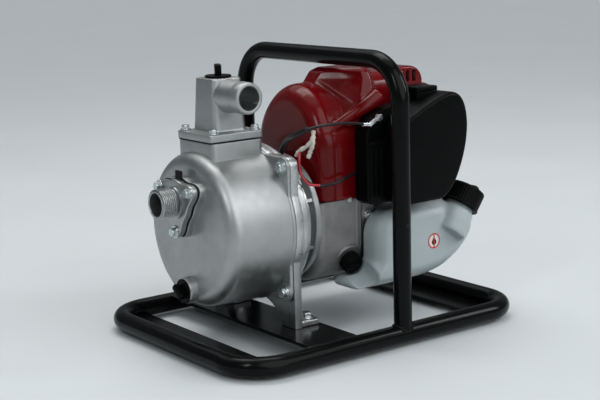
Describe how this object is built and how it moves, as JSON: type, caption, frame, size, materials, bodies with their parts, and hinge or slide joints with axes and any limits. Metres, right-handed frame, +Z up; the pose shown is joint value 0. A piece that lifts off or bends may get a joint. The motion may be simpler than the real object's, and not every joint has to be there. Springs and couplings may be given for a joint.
{
  "type": "portable engine-driven water pump",
  "caption": "Self-priming centrifugal water pump on a small petrol engine, carried in a black tubular frame with a top handle.",
  "frame": {"origin": "on the floor under the centre of the tubular frame", "axes": "+X from the suction port to the recoil starter, -Y the side of the discharge spout and air cleaner, +Z up"},
  "size_m": [0.4068, 0.3104, 0.3219],
  "materials": {
    "black_paint": "gloss black enamel on steel tube",
    "rubber_black": "matt black rubber",
    "cast_silver": "fine satin silver die casting",
    "raw_aluminium": "as-cast and machined aluminium",
    "grey_casting": "rough grey sand-texture casting",
    "steel": "ground steel",
    "zinc_steel": "bluish zinc plating",
    "red_plastic": "glossy dark red moulding",
    "black_plastic": "satin black moulding",
    "tank_plastic": "translucent white blow moulding",
    "chrome_steel": "bright plated steel",
    "heat_steel": "heat-stained steel pressing",
    "foam_grey": "open-cell filter foam"
  },
  "bodies": {
    "root": {"pump_casing": "cast_silver", "fuel_tank": "tank_plastic", "mounting_bracket": "raw_aluminium", "discharge_tower": "cast_silver", "cylinder": "grey_casting", "suction_flange": "cast_silver", "base_loop": "black_paint", "handle_tube": "black_paint", "engine_adapter": "raw_aluminium", "rear_cover": "red_plastic", "recoil_cover": "black_plastic", "throttle_cable": "rubber_black", "top_cover": "red_plastic", "crankcase": "grey_casting", "suction_gasket": "rubber_black", "volute": "grey_casting", "stop_lead": "rubber_black", "muffler": "heat_steel", "air_cleaner_case": "black_plastic", "discharge_gasket": "rubber_black", "fan_housing": "grey_casting", "carburettor": "raw_aluminium", "shaft_seal": "rubber_black", "suction_end_strip": "black_paint", "suction_end_near_foot": "rubber_black", "suction_end_far_foot": "rubber_black", "engine_end_strip": "black_paint", "engine_end_near_foot": "rubber_black", "engine_end_far_foot": "rubber_black", "air_filter": "foam_grey", "corner_bolt_1": "zinc_steel", "corner_bolt_2": "zinc_steel", "corner_bolt_3": "zinc_steel", "corner_bolt_4": "zinc_steel", "foot_bolt_1": "zinc_steel", "foot_bolt_2": "zinc_steel", "suction_bolt_1": "zinc_steel", "suction_bolt_2": "zinc_steel", "suction_bolt_3": "zinc_steel", "tower_bolt_1": "zinc_steel", "tower_bolt_2": "zinc_steel", "tower_bolt_3": "zinc_steel", "tower_bolt_4": "zinc_steel", "cross_bar": "black_paint", "piston": "raw_aluminium"},
    "rotor": {"impeller": "grey_casting", "crankshaft": "steel", "flywheel_fan": "grey_casting"},
    "filler_plug": {"filler_plug": "black_plastic"},
    "drain_plug": {"drain_plug": "black_plastic"},
    "fuel_cap": {"fuel_cap": "black_plastic"},
    "oil_cap": {"oil_cap": "black_plastic"},
    "check_valve_flap": {"check_valve_flap": "rubber_black"},
    "choke_lever": {"choke_lever": "black_plastic"},
    "throttle_arm": {"throttle_arm": "chrome_steel"},
    "primer_bulb": {"primer_bulb": "rubber_black"},
    "air_cleaner_cover": {"air_cleaner_cover": "black_plastic"},
    "cleaner_latch": {"cleaner_latch": "black_plastic"},
    "recoil_pulley": {"recoil_pulley": "black_plastic"},
    "starter_grip": {"starter_grip": "rubber_black"}
  },
  "joints": [
    {"name": "rotor_spin", "type": "hinge", "parent": "root", "child": "rotor", "pos_m": [0, 0, 0.1336], "axis": [1, 0, 0], "continuous": true},
    {"name": "filler_plug_turn", "type": "hinge", "parent": "root", "child": "filler_plug", "pos_m": [-0.1195, 0, 0.297], "axis": [0, 0, 1], "range_deg": [0, 720]},
    {"name": "drain_plug_turn", "type": "hinge", "parent": "root", "child": "drain_plug", "pos_m": [-0.174, 0, 0.068], "axis": [-1, 0, 0], "range_deg": [0, 720]},
    {"name": "fuel_cap_turn", "type": "hinge", "parent": "root", "child": "fuel_cap", "pos_m": [0.15232, -0.088, 0.12916], "axis": [0.58, 0, 0.8146], "range_deg": [0, 540]},
    {"name": "oil_cap_turn", "type": "hinge", "parent": "root", "child": "oil_cap", "pos_m": [0.009, -0.0578, 0.0835], "axis": [0, -0.8984, -0.4392], "range_deg": [0, 720]},
    {"name": "check_valve_swing", "type": "hinge", "parent": "root", "child": "check_valve_flap", "pos_m": [-0.1594, 0, 0.1876], "axis": [0, -1, 0], "range_deg": [0, 35], "stiffness_Nm_per_rad": 0.01},
    {"name": "choke_turn", "type": "hinge", "parent": "root", "child": "choke_lever", "pos_m": [0.0923, -0.05, 0.214], "axis": [-1, 0, 0], "range_deg": [0, 75]},
    {"name": "throttle_turn", "type": "hinge", "parent": "root", "child": "throttle_arm", "pos_m": [0.03, -0.0883, 0.246], "axis": [0, 1, 0], "range_deg": [0, 45], "stiffness_Nm_per_rad": 0.05},
    {"name": "primer_push", "type": "slide", "parent": "root", "child": "primer_bulb", "axis": [0, 0, 1], "range_m": [0, 0.004], "stiffness_N_per_m": 400},
    {"name": "cover_open", "type": "hinge", "parent": "root", "child": "air_cleaner_cover", "pos_m": [0.1, -0.0882, 0.149], "axis": [1, 0, 0], "range_deg": [0, 50]},
    {"name": "latch_flip", "type": "hinge", "parent": "root", "child": "cleaner_latch", "pos_m": [0.0955, -0.066, 0.2698], "axis": [-1, 0, 0], "range_deg": [0, 70]},
    {"name": "starter_pull", "type": "slide", "parent": "root", "child": "starter_grip", "axis": [0, 1, 0], "range_m": [0, 0.6], "stiffness_N_per_m": 20, "springref_m": -0.2},
    {"name": "pulley_spin", "type": "hinge", "parent": "root", "child": "recoil_pulley", "pos_m": [0, 0, 0.1336], "axis": [-1, 0, 0], "range_deg": [0, 1400]}
  ],
  "couplings": [
    {"joint": "pulley_spin", "follows": "starter_pull", "rad_per_m": 37.879}
  ]
}
